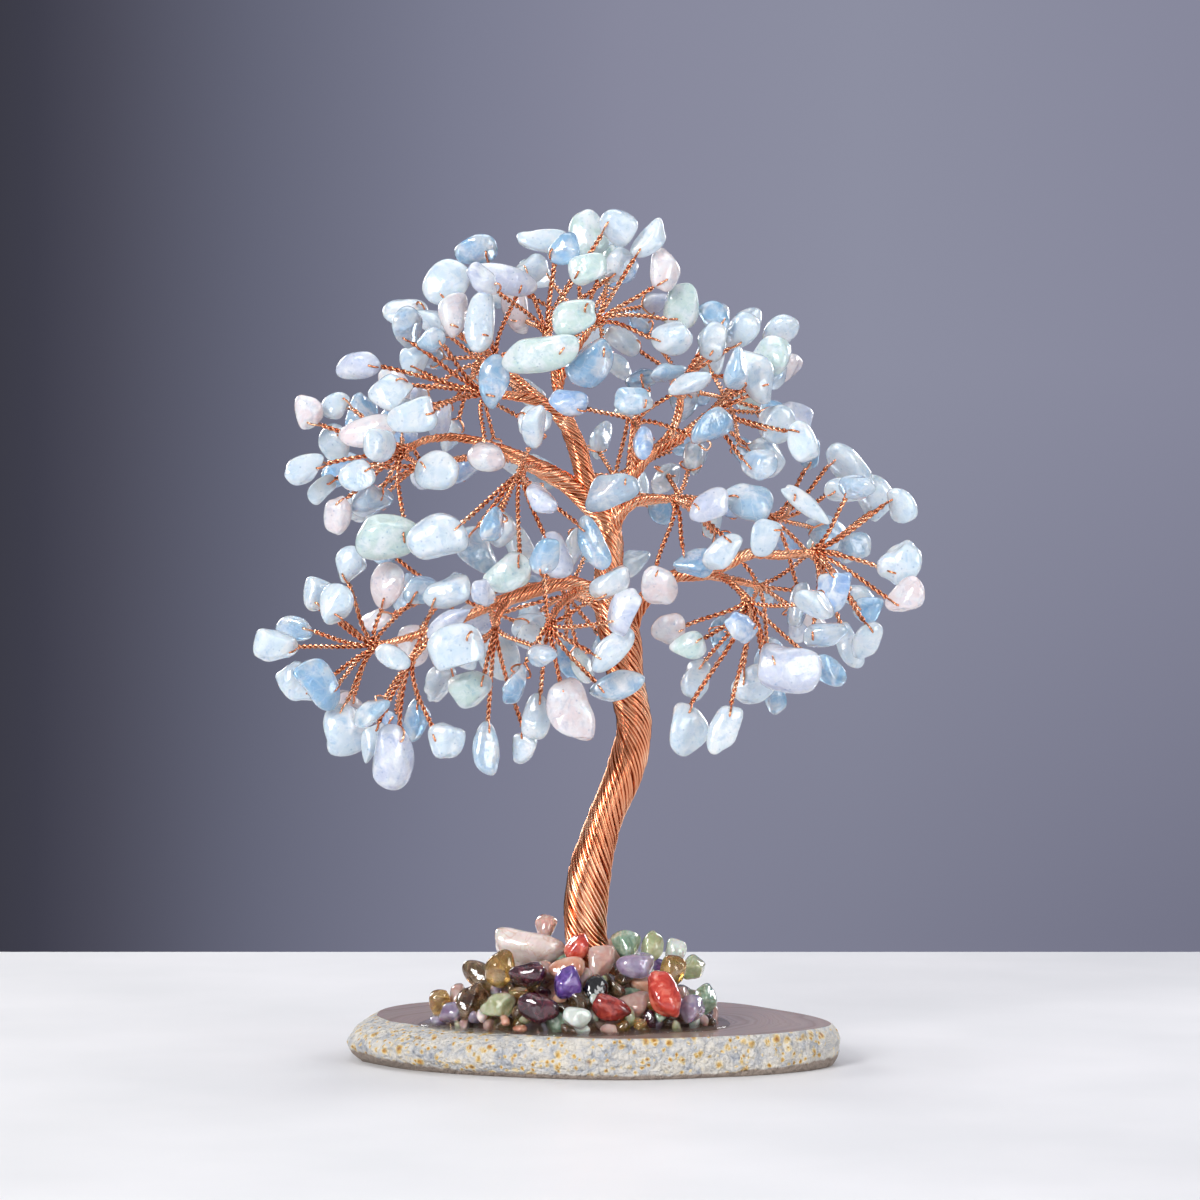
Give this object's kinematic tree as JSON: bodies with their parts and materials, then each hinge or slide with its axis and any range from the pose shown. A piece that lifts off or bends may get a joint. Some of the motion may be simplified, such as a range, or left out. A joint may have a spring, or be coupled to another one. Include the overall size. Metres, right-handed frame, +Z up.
{
  "type": "wire tree sculpture",
  "caption": "Copper wire tree with drilled aquamarine chips on twisted twigs, in a heap of tumbled stones held by clear resin on a polished agate slice.",
  "frame": {"origin": "on the flat underside of the agate slice, straight below the foot of the trunk", "axes": "+Z up, the front of the tree faces -Y, +X to the right seen from the front"},
  "size_m": [0.132, 0.0834, 0.171],
  "materials": {
    "agate": "polished face, rough rind",
    "resin": "clear cast resin, glossy",
    "copper": "bare copper wire, bright",
    "aquamarine": "tumbled, polished",
    "milky_quartz": "tumbled, polished",
    "rose_quartz": "tumbled, polished",
    "carnelian": "tumbled, polished",
    "aventurine": "tumbled, polished",
    "prehnite": "tumbled, polished",
    "moonstone": "tumbled, polished",
    "carnelian_pale": "tumbled, polished",
    "garnet": "tumbled, polished",
    "citrine": "tumbled, polished",
    "smoky_quartz": "tumbled, polished",
    "amethyst": "tumbled, polished",
    "obsidian": "tumbled, polished",
    "amethyst_pale": "tumbled, polished",
    "red_jasper": "tumbled, polished"
  },
  "bodies": {
    "root": {"agate_slice": "agate", "clear_resin": "resin", "copper_trunk": "copper", "spray_top": "aquamarine", "spray_top_left": "aquamarine", "spray_top_right": "aquamarine", "spray_top_back": "aquamarine", "spray_upper_left": "aquamarine", "spray_upper_left_back": "aquamarine", "spray_left": "aquamarine", "spray_left_back": "aquamarine", "spray_centre_left": "aquamarine", "spray_centre": "aquamarine", "spray_right_top": "aquamarine", "spray_right_upper": "aquamarine", "spray_right_back": "aquamarine", "spray_right_inner": "aquamarine", "spray_right_mid": "aquamarine", "spray_right_outer": "aquamarine", "spray_mid_back": "aquamarine", "spray_low_left_outer": "aquamarine", "spray_low_left_inner": "aquamarine", "spray_low_left_back": "aquamarine", "spray_low_mid_left": "aquamarine", "spray_low_centre": "aquamarine", "spray_low_back": "aquamarine", "spray_low_right": "aquamarine", "spray_low_right_back": "aquamarine", "milky_quartz": "milky_quartz", "rose_quartz_small": "rose_quartz", "carnelian_upright": "carnelian", "green_aventurine": "aventurine", "pale_aventurine": "prehnite", "moonstone": "moonstone", "peach_agate": "carnelian_pale", "garnet": "garnet", "citrine": "citrine", "smoky_quartz_splinter": "smoky_quartz", "amethyst": "amethyst", "obsidian": "obsidian", "peach_moonstone": "rose_quartz", "pale_amethyst": "amethyst_pale", "honey_calcite": "citrine", "olive_quartz": "prehnite", "citrine_left": "citrine", "brown_agate": "smoky_quartz", "prehnite": "prehnite", "garnet_low": "garnet", "white_jade": "moonstone", "red_jasper": "red_jasper", "coral_chip": "carnelian", "smoky_rose": "rose_quartz", "lilac_quartz": "amethyst_pale", "aventurine_right": "aventurine", "back_milky_quartz": "milky_quartz", "back_jasper": "red_jasper", "back_amethyst": "amethyst", "back_citrine": "citrine", "back_aventurine": "aventurine", "back_smoky_quartz": "smoky_quartz"}
  },
  "joints": []
}
